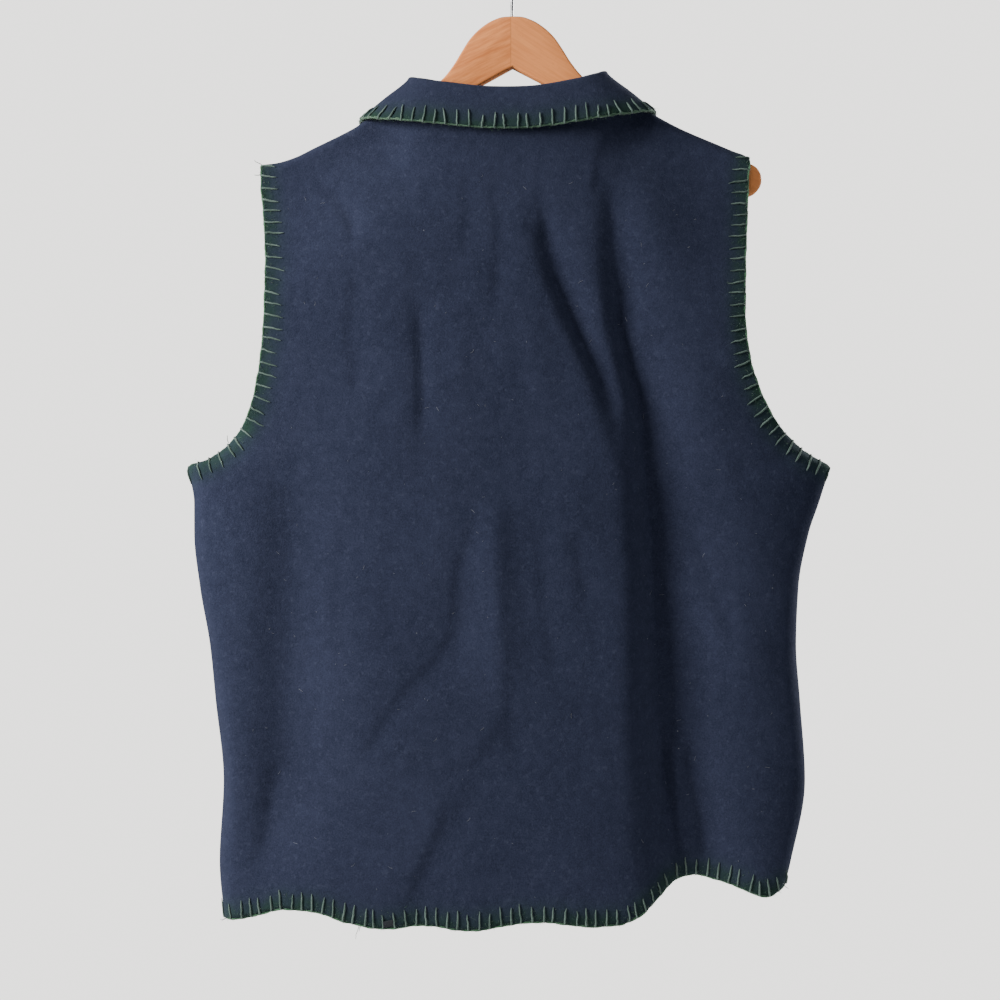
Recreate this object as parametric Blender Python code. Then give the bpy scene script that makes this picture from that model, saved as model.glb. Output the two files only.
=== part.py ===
# Navy boiled wool vest with a turned-down collar, hanging on a wooden hanger.
# Metres, +Z up. The back faces +Y, the fronts face -Y, and the wearer's left is +X.
# The origin is the inside top of the hook, where a rail carries the hanger.
# The tables below are in millimetres and are turned into metres where they are read.

import math
from collections import namedtuple

import bmesh
import bpy
from mathutils import Matrix, Vector

MM = 0.001

# cloth
WALL = 2.4 * MM              # boiled wool
SEAM = 0.5 * MM              # from the side plane to each edge that is sewn there
ROLL = 14 * MM               # how far a side seam takes to turn to the flat of a panel
ROLL_CELLS = 3
ARCH = 8 * MM                # how far the cloth takes to turn over the hanger
BULGE_HALF = 300 * MM        # a panel stands out from the side plane over this half width
BULGE_POWER = 0.7            # 1 would be a parabola seen from above, less is flatter
UNDERARM = -484.5 * MM       # below this the back and the fronts are sewn together
OPEN_REACH = 55 * MM         # above it their edges part over this height
OVER_HANGER = 9 * MM         # depth of the cloth just under a shoulder seam
SETTLE = 130 * MM            # below the shoulders by this much, a panel has its full depth
HEM_REACH = 170 * MM         # the hem's rise and fall dies out over this height
TOP_REACH = 175 * MM         # the shoulder's slope dies out over this height
TOP_BAND = 20 * MM           # rows in this band keep their distance to the top line
FLARE = 108 * MM             # a mesh column from the neck goes out by this to the hem
NECK_STEP = 5 * MM           # to the first mesh column inside each end of the neck
CHEST = -450 * MM            # below this height the fronts part a little
PARTING = 1.5 * MM           # from the middle to each front, above that height
HEM_PARTING = 4.5 * MM       # the same at the hem

# neck and collar
NECK_X = 4 * MM              # the garment hangs a little to the wearer's left
NECK_HALF = 108 * MM
NECK_DEPTH = 30 * MM
NECK_SQUARE = 2.6            # 2 would be an ellipse
NECK_BACK = -168.5 * MM
NECK_FRONT = -255 * MM
COLLAR_HALF_CELLS = 18
COLLAR_LIFT = 1.5 * MM       # gap between a neck edge and the collar
FRONT_LIFT = 2.3 * MM        # the same along the fronts, where the collar leans in
COLLAR_LIFT_SIDE = 2.7 * MM  # the same where the shoulder seam lies under it
SEAM_TURN = 38              # degrees each way over which it rises to that
FOLD_HALF = 2.2 * MM         # half the width of the collar's fold
FOLD_DROP = 3.0 * MM

# hem tab
TAB_X = 112 * MM
TAB_WIDTH = 12 * MM
TAB_LOW = 5 * MM             # above the hem
TAB_HEIGHT = 7 * MM
TAB_WALL = 0.8 * MM
TAB_GAP = 0.5 * MM

# hanger
WOOD = 12 * MM               # thickness
WOOD_ROUND = 2 * MM
WOOD_TILT = math.radians(0.75)
HUMP_TOP = -66 * MM
TIP_X = 214.6 * MM
TIP_Z = -220.4 * MM
TIP_RADIUS = 15.2 * MM
TIP_STEPS = 6
WIRE = 1.5 * MM              # radius of the hook's wire
WIRE_HOLE = 2.0 * MM
HOLE_DEPTH = 18 * MM
HOOK_INSIDE = 20 * MM        # inside radius of the hook
SHANK_TOP = -52 * MM
HOOK_START = math.radians(-62)
HOOK_END = math.radians(208)
HOOK_STEPS = 22

# One row for each level of the body: nominal height, mesh rows up to the next level,
# left and right outline, depth at the sides, depth of the back and of the fronts at
# the middle, and how much further in the front armhole is cut.
Level = namedtuple("Level", "height rows left right side back front inset")
LEVELS = [
    Level(-905.0, 3, 266.0, -243.0, 13, 43, 36, 0),
    Level(-850.0, 3, 270.7, -258.0, 13, 42, 36, 0),
    Level(-775.0, 3, 267.0, -271.3, 13, 40, 35, 0),
    Level(-700.0, 2, 274.5, -266.5, 13, 40, 34, 0),
    Level(-650.0, 2, 279.6, -263.0, 13, 39, 34, 0),
    Level(-596.0, 2, 289.0, -265.2, 12, 38, 33, 0),
    Level(-546.0, 1, 294.5, -274.6, 12, 37, 32, 0),
    Level(-517.0, 1, 294.6, -284.4, 11, 37, 32, 0),
    Level(-498.0, 1, 297.6, -290.6, 11, 37, 32, 0),
    Level(-490.5, 1, 300.1, -293.6, 11, 37, 32, 0),
    Level(-484.5, 1, 299.8, -293.8, 11, 37, 32, 0),
    Level(-479.0, 1, 284.0, -285.2, 11, 37, 32, 1),
    Level(-471.5, 1, 271.0, -272.0, 11, 37, 32, 2),
    Level(-462.0, 1, 259.0, -259.8, 11, 37, 32, 3),
    Level(-447.0, 1, 246.5, -244.5, 11, 37, 32, 5),
    Level(-429.0, 1, 238.2, -232.6, 11, 37, 32, 7),
    Level(-408.0, 1, 233.2, -223.4, 11, 37, 32, 9),
    Level(-383.0, 2, 229.2, -216.2, 11, 37, 32, 11),
    Level(-345.0, 2, 226.0, -211.9, 11, 37, 32, 12),
    Level(-300.0, 2, 225.2, -212.6, 11, 36, 32, 11),
    Level(-257.0, 2, 227.8, -215.3, 11, 35, 31, 6),
    Level(-224.5, 1, 231.2, -217.2, 11, 34, 30, 0),
    Level(-214.5, 1, 231.5, -217.8, 11, 34, 30, 0),
    Level(-209.5, 1, 231.6, -218.2, 11, 34, 30, 0),
    Level(-206.5, 1, 231.8, -218.6, 11, 34, 30, 0),
    Level(-205.2, 1, 231.8, -218.8, 11, 34, 30, 0),
    Level(-204.5, 1, 231.8, -219.0, 11, 34, 30, 0),
]

# height of the hem along the back and along the fronts, and of the shoulder seams
Edge = namedtuple("Edge", "x height")
BACK_HEM = [
    Edge(267, -901.5), Edge(240, -896.2), Edge(205, -887.0), Edge(181, -888.0),
    Edge(150, -897.0), Edge(116, -902.3), Edge(80, -899.0), Edge(39, -903.2),
    Edge(-7, -896.5), Edge(-25, -895.2), Edge(-75, -900.0), Edge(-97, -898.4),
    Edge(-113, -892.9), Edge(-126, -883.0), Edge(-141, -870.6), Edge(-156, -863.3),
    Edge(-168, -861.3), Edge(-203, -868.3), Edge(-233, -878.3), Edge(-253, -870.0),
]
FRONT_HEM = [
    Edge(267, -901.5), Edge(215, -891.0), Edge(150, -896.0), Edge(90, -892.0),
    Edge(0, -896.0), Edge(-60, -895.0), Edge(-110, -888.0), Edge(-140, -872.0),
    Edge(-168, -865.0), Edge(-203, -870.0), Edge(-230, -878.0), Edge(-253, -870.0),
]
SHOULDER = [
    Edge(232, -204.5), Edge(219, -203.0), Edge(202, -198.0), Edge(183, -188.8),
    Edge(146, -170.3), Edge(112, -148.5), Edge(-104, -142.3), Edge(-135, -160.0),
    Edge(-154.5, -170.3), Edge(-192, -186.4), Edge(-206.7, -192.5),
    Edge(-213.6, -194.8), Edge(-219, -198.0),
]

# A fold runs down the cloth: where it lies at each height, how deep it goes in
# (less than nothing stands out), and how wide it is towards +X and towards -X.
Fold = namedtuple("Fold", "height x depth left_width right_width")
MAIN_FOLD = [
    Fold(-225, -79, 0, 14, 22), Fold(-290, -86, 7, 14, 26), Fold(-360, -96, 11, 15, 30),
    Fold(-470, -112, 17, 16, 32), Fold(-570, -125, 21, 16, 32),
    Fold(-663, -132, 23, 16, 33), Fold(-756, -144, 26, 17, 36),
    Fold(-840, -162, 30, 20, 40), Fold(-905, -172, 33, 22, 44),
]
BACK_FOLDS = [
    MAIN_FOLD,
    [Fold(-420, 205, 0, 26, 26), Fold(-500, 208, 5, 26, 28), Fold(-610, 211, 7, 26, 30),
     Fold(-720, 212, 7, 26, 30), Fold(-850, 224, 5, 24, 30)],
    [Fold(-235, 2, 0, 16, 24), Fold(-300, -18, 5, 16, 26), Fold(-352, -43, 8, 16, 26),
     Fold(-418, -73, 7, 16, 24), Fold(-500, -98, 0, 16, 20)],
    [Fold(-480, 34, 0, 22, 18), Fold(-545, 47, 5, 24, 18), Fold(-635, 59, 7, 26, 18),
     Fold(-703, 108, 7, 28, 20), Fold(-770, 166, 0, 26, 20)],
    [Fold(-690, 6, 0, 18, 20), Fold(-735, 16, 5, 18, 22), Fold(-793, 55, 8, 20, 24),
     Fold(-853, 90, 8, 20, 24), Fold(-905, 104, 8, 20, 26)],
    [Fold(-500, 18, 0, 20, 20), Fold(-575, 14, -4, 20, 20), Fold(-640, 9, -4, 20, 20),
     Fold(-700, 6, 0, 20, 20)],
    [Fold(-262, 90, 0, 20, 20), Fold(-340, 93, 3, 20, 20), Fold(-430, 86, 3, 20, 20),
     Fold(-500, 83, 0, 20, 20)],
    [Fold(-545, -158, 0, 24, 24), Fold(-595, -172, -4, 24, 24),
     Fold(-650, -214, -3, 24, 24), Fold(-700, -228, 0, 24, 24)],
]
FRONT_FOLDS = [
    [Fold(-290, 62, 0, 20, 20), Fold(-420, 70, 6, 20, 26), Fold(-600, 82, 9, 22, 28),
     Fold(-780, 96, 12, 24, 30), Fold(-905, 104, 13, 26, 32)],
    [Fold(-450, 206, 0, 24, 24), Fold(-560, 200, 6, 24, 28), Fold(-720, 188, 7, 26, 30),
     Fold(-905, 180, 4, 26, 30)],
    [Fold(-320, -96, 0, 20, 20), Fold(-460, -104, 8, 20, 26), Fold(-640, -112, 12, 22, 28),
     Fold(-800, -122, 14, 24, 30), Fold(-905, -128, 14, 26, 32)],
    [Fold(-520, -196, 0, 22, 24), Fold(-650, -204, 5, 22, 26), Fold(-800, -208, 6, 22, 26),
     Fold(-905, -204, 4, 22, 26)],
]

# Half of the collar, from the middle of the back round to the front end: the turn
# round the neck in degrees, then the fold line as seen from the neck seam, and the
# outer edge as seen from the fold line (out along X, back along Y, up along Z).
Turn = namedtuple("Turn", "angle fold_x fold_y fold_z edge_x edge_y edge_z")
COLLAR = [
    Turn(90, 0, 1, 27.5, 0, 10, -38.5),
    Turn(60, -3, 1, 26.5, 2, 12, -39.5),
    Turn(35, -9, 1, 24, 12, 16, -41),
    Turn(15, -14, 1, 22, 34, 14, -40),
    Turn(0, -16, 0, 21.5, 47, 4, -36),
    Turn(-15, -15, -2, 22, 50, -6, -37),
    Turn(-35, -11, -5, 20, 50, -10, -54),
    Turn(-60, -7, -6, 14, 48, -7, -59),
    Turn(-88.5, 0, -6, 7, 36, -6, -60),
]

# half of the wood's outline seen from behind: its top line and its underside
WOOD_TOP = [
    Edge(0, -66.0), Edge(8, -66.4), Edge(18.5, -69.8), Edge(29.3, -76.6),
    Edge(39.3, -86.4), Edge(46.3, -96.8), Edge(54, -109.3), Edge(64, -122.0),
    Edge(80, -135.6), Edge(108, -153.4), Edge(146, -174.8), Edge(187, -193.6),
    Edge(207, -202.6), Edge(216, -206.8),
]
WOOD_UNDER = [
    Edge(0, -113.1), Edge(26, -127.0), Edge(100, -167.5), Edge(180, -213.0),
    Edge(208, -231.0),
]
WOOD_TOP_PLACES = [0, 6, 12, 18, 24, 30, 36, 41, 46, 51, 57, 64, 72, 84, 100, 120, 146,
                   170, 192, 208]
WOOD_UNDER_PLACES = [200, 170, 130, 90, 50, 20, 0]


class Curve:
    # smooth line through pairs of place and value, level past its ends,
    # which never swings past the values that it joins

    def __init__(self, pairs):
        pairs = sorted(pairs)
        self.places = [place for place, value in pairs]
        self.values = [value for place, value in pairs]
        rises = [(self.values[i + 1] - self.values[i]) / (self.places[i + 1] - self.places[i])
                 for i in range(len(pairs) - 1)]
        self.slopes = [rises[0]]
        for before, after in zip(rises, rises[1:]):
            same_way = before * after > 0
            self.slopes.append(2 * before * after / (before + after) if same_way else 0.0)
        self.slopes.append(rises[-1])

    def __call__(self, place):
        if place <= self.places[0]:
            return self.values[0]
        if place >= self.places[-1]:
            return self.values[-1]
        i = max(k for k in range(len(self.places) - 1) if self.places[k] <= place)
        span = self.places[i + 1] - self.places[i]
        t = (place - self.places[i]) / span
        low = self.values[i] * (1 + 2 * t) + self.slopes[i] * span * t
        high = self.values[i + 1] * (3 - 2 * t) - self.slopes[i + 1] * span * (1 - t)
        return low * (1 - t) ** 2 + high * t ** 2


def read_curve(rows, place, value):
    return Curve([(getattr(row, place) * MM, getattr(row, value) * MM) for row in rows])


def ease(t):
    t = min(max(t, 0.0), 1.0)
    return t * t * (3 - 2 * t)


def quarter_turn(t):
    t = min(max(t, 0.0), 1.0)
    return math.sqrt(1 - (1 - t) ** 2)


outline = {name: read_curve(LEVELS, "height", name)
           for name in ("left", "right", "side", "back", "front", "inset")}
back_hem = read_curve(BACK_HEM, "x", "height")
front_hem = read_curve(FRONT_HEM, "x", "height")
shoulder = read_curve(SHOULDER, "x", "height")
main_fold_x = read_curve(MAIN_FOLD, "height", "x")
fold_curves = {}


def fold_values(fold, height):
    if id(fold) not in fold_curves:
        fold_curves[id(fold)] = [read_curve(fold, "height", name)
                                 for name in ("x", "depth", "left_width", "right_width")]
    return [curve(height) for curve in fold_curves[id(fold)]]


def fold_depth(folds, x, height):
    # how far all folds of a panel take its surface in at a point
    total = 0.0
    for fold in folds:
        middle, depth, left_width, right_width = fold_values(fold, height)
        width = left_width if x > middle else right_width
        total += depth * math.exp(-((x - middle) / width) ** 2)
    return total


def neck_depth(x):
    # depth of the neck seam, which is half a squarish oval seen from above
    across = min(abs(x - NECK_X) / NECK_HALF, 1.0)
    return NECK_DEPTH * (1 - across ** NECK_SQUARE) ** (1 / NECK_SQUARE)


def back_top(x):
    # height of the back's upper edge: shoulder seams and, between them, the neck
    across = abs(x - NECK_X) / NECK_HALF
    if across >= 1:
        return shoulder(x)
    side = shoulder(NECK_X + math.copysign(NECK_HALF, x - NECK_X))
    return NECK_BACK + (side - NECK_BACK) * across ** 2


def front_top(x):
    across = abs(x - NECK_X) / NECK_HALF
    if across >= 1:
        return shoulder(x)
    side = shoulder(NECK_X + math.copysign(NECK_HALF, x - NECK_X))
    return NECK_FRONT + (side - NECK_FRONT) * across ** 2


def row_heights():
    # nominal height of each mesh row, closer together at the underarm and the top
    heights = []
    for low, high in zip(LEVELS, LEVELS[1:]):
        for step in range(low.rows):
            heights.append((low.height + (high.height - low.height) * step / low.rows) * MM)
    heights.append(LEVELS[-1].height * MM)
    return heights


ROWS = row_heights()


def true_height(x, nominal, hem, top):
    # moves a nominal height so that the lowest row is the hem and the highest the top
    hem_share = 1 - ease((nominal - ROWS[0]) / HEM_REACH)
    top_share = ease((nominal - (ROWS[-1] - TOP_BAND - TOP_REACH)) / TOP_REACH)
    return nominal + (hem(x) - ROWS[0]) * hem_share + (top(x) - ROWS[-1]) * top_share


def panel_depth(x, height, ends, middle, folds, top, inset):
    # distance of a panel's surface from the side plane, for the back and the fronts
    to_edge = min(ends[0] - inset - x, x - ends[1] - inset)
    across = min(max(0.5 + (x - NECK_X) / (2 * BULGE_HALF), 0.0), 1.0)
    side = outline["side"](height)
    full = side + (middle - side) * (4 * across * (1 - across)) ** BULGE_POWER
    apart = ease((height - UNDERARM) / OPEN_REACH)
    full *= apart + (1 - apart) * quarter_turn(to_edge / ROLL)
    full -= fold_depth(folds, x, height) * ease(to_edge / ROLL)
    below = max(top(x) - height, 0.0)
    neck = neck_depth(x)
    body = math.hypot(OVER_HANGER, neck)
    body += (full - body) * ease(below / SETTLE)
    return SEAM + neck + (body - neck) * quarter_turn(below / ARCH)


def edges_at(nominal, hem, top):
    # both ends of a row: their place across and their height
    ends = []
    for name in ("left", "right"):
        x = outline[name](nominal)
        for _ in range(3):
            height = true_height(x, nominal, hem, top)
            x = outline[name](height)
        ends.append(x)
    return ends


def share(start, end, cells, power=1.0):
    # places from start up to, but not at, end; closer together there if power is over 1
    return [start + (end - start) * (1 - (1 - k / cells) ** power) for k in range(cells)]


def seam_roll(edge, way):
    # places where a panel's edge turns towards its seam
    return [edge + way * ROLL * (1 - math.cos(math.pi / 2 * k / ROLL_CELLS))
            for k in range(ROLL_CELLS)]


def back_columns(nominal):
    # one column runs down each end of the neck and one down the main fold
    left, right = edges_at(nominal, back_hem, back_top)
    neck_left = NECK_X + NECK_HALF
    drop = (ROWS[-1] - nominal) / (ROWS[-1] - ROWS[0])
    neck_right = NECK_X - NECK_HALF - FLARE * drop
    fold = main_fold_x(nominal)
    return (seam_roll(left, -1) + share(left - ROLL, neck_left, 7)
            + [neck_left] + share(neck_left - NECK_STEP, fold, 10, 1.3)
            + share(fold, neck_right, 4)
            + share(neck_right, right + ROLL, 5) + [right + ROLL]
            + seam_roll(right, 1)[::-1])


def front_columns(nominal, side):
    # the fronts meet edge to edge and part a little towards the hem
    edge = edges_at(nominal, front_hem, front_top)[0 if side > 0 else 1]
    edge -= side * outline["inset"](true_height(edge, nominal, front_hem, front_top))
    neck = NECK_X + side * NECK_HALF
    lower = ease((CHEST - nominal) / (CHEST - ROWS[0]))
    centre = NECK_X + side * (PARTING + (HEM_PARTING - PARTING) * lower)
    return (seam_roll(edge, -side) + share(edge - side * ROLL, neck, 7) + [neck]
            + share(neck - side * NECK_STEP, centre, 7) + [centre])


BACK_COLUMNS = [back_columns(nominal) for nominal in ROWS]


def back_place(x, nominal):
    height = true_height(x, nominal, back_hem, back_top)
    ends = edges_at(nominal, back_hem, back_top)
    depth = panel_depth(x, height, ends, outline["back"](height), BACK_FOLDS, back_top, 0.0)
    return Vector((x, depth, height))


def front_place(x, nominal):
    height = true_height(x, nominal, front_hem, front_top)
    ends = edges_at(nominal, front_hem, front_top)
    depth = panel_depth(x, height, ends, outline["front"](height), FRONT_FOLDS, front_top,
                        outline["inset"](height))
    return Vector((x, -depth, height))


def colour(name, red, green, blue, rough, metal=0.0):
    made = bpy.data.materials.new(name)
    made.use_nodes = True
    shader = made.node_tree.nodes["Principled BSDF"]
    shader.inputs["Base Color"].default_value = (red, green, blue, 1)
    shader.inputs["Roughness"].default_value = rough
    shader.inputs["Metallic"].default_value = metal
    return made


def add_object(name, mesh, material):
    made = bpy.data.objects.new(name, mesh)
    bpy.context.scene.collection.objects.link(made)
    mesh.materials.clear()
    mesh.materials.append(material)
    return made


def add_wall(name, columns, rows, place, wall, material):
    # a grid laid out by place(column, row), given the cloth's thickness
    grid = bmesh.new()
    bmesh.ops.create_grid(grid, x_segments=columns, y_segments=rows, size=0.5)
    for point in grid.verts:
        column = round((point.co.x + 0.5) * columns)
        row = round((point.co.y + 0.5) * rows)
        point.co = place(column, row)
    mesh = bpy.data.meshes.new(name)
    grid.to_mesh(mesh)
    grid.free()
    mesh.shade_smooth()
    made = add_object(name, mesh, material)
    thick = made.modifiers.new("cloth", "SOLIDIFY")
    thick.thickness = wall
    thick.offset = 0
    return made


def make_back(material):
    return add_wall("back", len(BACK_COLUMNS[0]) - 1, len(ROWS) - 1,
                    lambda column, row: back_place(BACK_COLUMNS[row][column], ROWS[row]),
                    WALL, material)


def make_front(name, side, material):
    columns = [front_columns(nominal, side) for nominal in ROWS]
    return add_wall(name, len(columns[0]) - 1, len(ROWS) - 1,
                    lambda column, row: front_place(columns[row][column], ROWS[row]),
                    WALL, material)


def make_collar(material):
    # stand and fall in one strip round the neck, seven points in each section
    turns = {name: Curve([(row.angle, getattr(row, name) * MM) for row in COLLAR])
             for name in Turn._fields if name != "angle"}
    last = COLLAR[-1].angle
    section_cells = 6

    def section(step):
        side = 1 if step <= COLLAR_HALF_CELLS else -1
        share = abs(step - COLLAR_HALF_CELLS) / COLLAR_HALF_CELLS
        angle = 90 + (last - 90) * share
        turn = math.radians(angle)
        x = NECK_X + side * NECK_HALF * math.cos(turn)
        y = math.copysign(neck_depth(x) + SEAM * min(abs(angle), 1.0), turn)
        top = back_top if angle >= 0 else front_top
        step_in = NECK_X - x
        slope = (top(x + step_in / 100) - top(x)) / (abs(step_in) / 100 or 1.0)
        near_seam = 1 - ease(abs(angle) / SEAM_TURN)
        lift = COLLAR_LIFT if angle >= 0 else FRONT_LIFT
        lift += (COLLAR_LIFT_SIDE - lift) * near_seam
        off = Vector((side * slope, 0, 1)).normalized() * lift
        neck = Vector((x, y, top(x))) + off
        tilt = Vector((0, 0, -math.sin(WOOD_TILT)))
        fold = neck + Vector((side * turns["fold_x"](angle), turns["fold_y"](angle),
                              turns["fold_z"](angle)))
        edge = fold + Vector((side * turns["edge_x"](angle), turns["edge_y"](angle),
                              turns["edge_z"](angle)))
        edge += tilt * (edge.x - neck.x)
        out = edge - fold
        out.z = 0
        out.normalize()
        drop = Vector((0, 0, FOLD_DROP))
        inner = fold - out * FOLD_HALF - drop
        outer = fold + out * FOLD_HALF - drop
        return [neck, neck.lerp(inner, 0.5), inner, fold, outer, outer.lerp(edge, 0.5), edge]

    sections = [section(step) for step in range(2 * COLLAR_HALF_CELLS + 1)]
    return add_wall("collar", 2 * COLLAR_HALF_CELLS, section_cells,
                    lambda column, row: sections[column][row], WALL, material)


def on_back(x, nominal):
    # point on the back's own mesh, between its columns and rows
    row = max(k for k in range(len(ROWS) - 1) if ROWS[k] <= nominal)
    ends = []
    for here in (row, row + 1):
        places = BACK_COLUMNS[here]
        column = max(k for k in range(len(places) - 1) if places[k] >= x)
        part = (places[column] - x) / (places[column] - places[column + 1])
        ends.append(back_place(places[column], ROWS[here]).lerp(
            back_place(places[column + 1], ROWS[here]), part))
    return ends[0].lerp(ends[1], (nominal - ROWS[row]) / (ROWS[row + 1] - ROWS[row]))


def make_tab(material):
    # a bare woven tab that lies on the back just above the hem
    columns, rows = 4, 2
    off = Vector((0, (WALL + TAB_WALL) / 2 + TAB_GAP, 0))
    low = ROWS[0] + TAB_LOW
    return add_wall("hem_tab", columns, rows,
                    lambda column, row: off + on_back(
                        TAB_X + TAB_WIDTH * (column / columns - 0.5),
                        low + TAB_HEIGHT * row / rows),
                    TAB_WALL, material)


def make_wood(material):
    top = read_curve(WOOD_TOP, "x", "height")
    under = read_curve(WOOD_UNDER, "x", "height")
    half = [(x * MM, top(x * MM)) for x in WOOD_TOP_PLACES]
    for step in range(TIP_STEPS + 1):
        angle = math.radians(72 - 162 * step / TIP_STEPS)
        half.append((TIP_X + TIP_RADIUS * math.cos(angle),
                     TIP_Z + TIP_RADIUS * math.sin(angle)))
    half += [(x * MM, under(x * MM)) for x in WOOD_UNDER_PLACES]
    ring = half + [(-x, z) for x, z in reversed(half[1:-1])]
    shape = bmesh.new()
    face = shape.faces.new([shape.verts.new((x, -WOOD / 2, z)) for x, z in ring])
    grown = bmesh.ops.extrude_face_region(shape, geom=[face])["geom"]
    bmesh.ops.translate(shape, vec=(0, WOOD, 0),
                        verts=[item for item in grown if isinstance(item, bmesh.types.BMVert)])
    bmesh.ops.recalc_face_normals(shape, faces=shape.faces)
    rims = [edge for edge in shape.edges
            if abs(edge.verts[0].co.y - edge.verts[1].co.y) < WOOD / 4]
    bmesh.ops.bevel(shape, geom=rims, offset=WOOD_ROUND, segments=2, profile=0.5,
                    affect="EDGES", material=-1, clamp_overlap=True)
    turn = Matrix.Rotation(WOOD_TILT, 4, "Y")
    pivot = Vector((0, 0, HUMP_TOP))
    for point in shape.verts:
        point.co = turn @ (point.co - pivot) + pivot
    mesh = bpy.data.meshes.new("hanger_body")
    shape.to_mesh(mesh)
    shape.free()
    made = add_object("hanger_body", mesh, material)

    drill = bmesh.new()
    bmesh.ops.create_cone(drill, cap_ends=True, segments=12, radius1=WIRE_HOLE,
                          radius2=WIRE_HOLE, depth=2 * HOLE_DEPTH,
                          matrix=Matrix.Translation((0, 0, HUMP_TOP)))
    drill_mesh = bpy.data.meshes.new("hook_hole")
    drill.to_mesh(drill_mesh)
    drill.free()
    cutter = add_object("hook_hole", drill_mesh, material)
    cutter.hide_render = True
    cutter.display_type = "WIRE"
    cut = made.modifiers.new("hook hole", "BOOLEAN")
    cut.operation = "DIFFERENCE"
    cut.object = cutter
    return made


def make_hook(material):
    # straight shank, then round over the rail; the mouth is on the wearer's right
    radius = HOOK_INSIDE + WIRE
    centre = Vector((0, 0, WIRE - radius))
    points = [Vector((0, 0, HUMP_TOP - HOLE_DEPTH + 0.3 * MM)), Vector((0, 0, HUMP_TOP)),
              Vector((0, 0, SHANK_TOP))]

    def on_round(angle):
        return centre + Vector((radius * math.cos(angle), 0, radius * math.sin(angle)))

    start = points[-1]
    finish = on_round(HOOK_START)
    way = Vector((-math.sin(HOOK_START), 0, math.cos(HOOK_START)))
    first = start + Vector((0, 0, 7 * MM))
    second = finish - way * 6 * MM
    for step in range(1, 6):
        t = step / 6
        points.append(start * (1 - t) ** 3 + first * 3 * t * (1 - t) ** 2
                      + second * 3 * t ** 2 * (1 - t) + finish * t ** 3)
    points += [on_round(HOOK_START + (HOOK_END - HOOK_START) * step / HOOK_STEPS)
               for step in range(HOOK_STEPS + 1)]
    line = bpy.data.curves.new("hook", "CURVE")
    line.dimensions = "3D"
    line.bevel_depth = WIRE
    line.bevel_resolution = 2
    line.use_fill_caps = True
    spline = line.splines.new("POLY")
    spline.points.add(len(points) - 1)
    for target, point in zip(spline.points, points):
        target.co = (*point, 1)
    made = bpy.data.objects.new("hook", line)
    bpy.context.scene.collection.objects.link(made)
    line.materials.append(material)
    return made


for old in list(bpy.data.objects):
    bpy.data.objects.remove(old)

wool = colour("navy wool", 0.030, 0.036, 0.066, 0.95)
beech = colour("beech", 0.62, 0.30, 0.15, 0.45)
steel = colour("steel", 0.60, 0.60, 0.60, 0.30, 1.0)
tape = colour("black tape", 0.010, 0.010, 0.014, 0.80)

make_back(wool)
make_front("front_left", 1, wool)
make_front("front_right", -1, wool)
make_collar(wool)
make_tab(tape)
make_wood(beech)
make_hook(steel)
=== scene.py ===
import math

import bmesh
import bpy
import numpy as np
from mathutils import Matrix, Vector


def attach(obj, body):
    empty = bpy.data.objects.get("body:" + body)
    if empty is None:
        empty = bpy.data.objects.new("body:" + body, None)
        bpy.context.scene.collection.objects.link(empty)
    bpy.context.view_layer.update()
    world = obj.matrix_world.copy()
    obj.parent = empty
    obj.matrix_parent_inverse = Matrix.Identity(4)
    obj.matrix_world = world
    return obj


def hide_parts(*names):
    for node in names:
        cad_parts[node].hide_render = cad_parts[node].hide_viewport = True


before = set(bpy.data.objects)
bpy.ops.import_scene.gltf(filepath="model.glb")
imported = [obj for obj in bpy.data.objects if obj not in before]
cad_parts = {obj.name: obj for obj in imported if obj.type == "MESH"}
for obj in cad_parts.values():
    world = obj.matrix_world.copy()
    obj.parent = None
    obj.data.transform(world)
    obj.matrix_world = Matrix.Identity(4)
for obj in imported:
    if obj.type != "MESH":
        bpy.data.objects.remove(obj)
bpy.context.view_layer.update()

mm = 0.001
rng = np.random.default_rng(7)
print("frame loaded:", len(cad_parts), "nodes")


def addObject(name, data):
    thing = bpy.data.objects.new(name, data)
    bpy.context.scene.collection.objects.link(thing)
    return thing


# camera: level with the middle of the vest, square to its back
camera = dict(distance=1.4, x=11.2 * mm, z=-515 * mm, seenWidth=0.931)


def makeCamera():
    lens = bpy.data.cameras.new("camera")
    lens.angle = 2 * math.atan(camera["seenWidth"] / 2 / camera["distance"])
    eye = addObject("camera", lens)
    eye.location = (camera["x"], camera["distance"], camera["z"])
    eye.rotation_euler = (math.radians(90), 0, math.radians(180))
    bpy.context.scene.camera = eye


makeCamera()


# smooth lines and tables
class SmoothLine:
    # smooth line through places and values, level past its ends, with no overshoot

    def __init__(self, places, values):
        order = np.argsort(places)
        self.places = np.array(places, float)[order]
        self.values = np.array(values, float)[order]
        rise = np.diff(self.values) / np.diff(self.places)
        slope = np.zeros(len(self.places))
        slope[0], slope[-1] = rise[0], rise[-1]
        before, after = rise[:-1], rise[1:]
        sameWay = before * after > 0
        total = np.where(sameWay, before + after, 1.0)
        slope[1:-1] = np.where(sameWay, 2 * before * after / total, 0.0)
        self.slopes = slope

    def __call__(self, place):
        place = np.clip(place, self.places[0], self.places[-1])
        i = np.clip(np.searchsorted(self.places, place, side="right") - 1,
                    0, len(self.places) - 2)
        span = self.places[i + 1] - self.places[i]
        t = (place - self.places[i]) / span
        low = self.values[i] * (1 + 2 * t) + self.slopes[i] * span * t
        high = self.values[i + 1] * (3 - 2 * t) - self.slopes[i + 1] * span * (1 - t)
        return low * (1 - t) ** 2 + high * t ** 2


def readTable(rows, names):
    # a table in millimetres, its first column the place, as one line for each name
    columns = list(zip(*rows))
    return {name: SmoothLine(np.array(columns[0]) * mm, np.array(column) * mm)
            for name, column in zip(names, columns[1:])}


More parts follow.
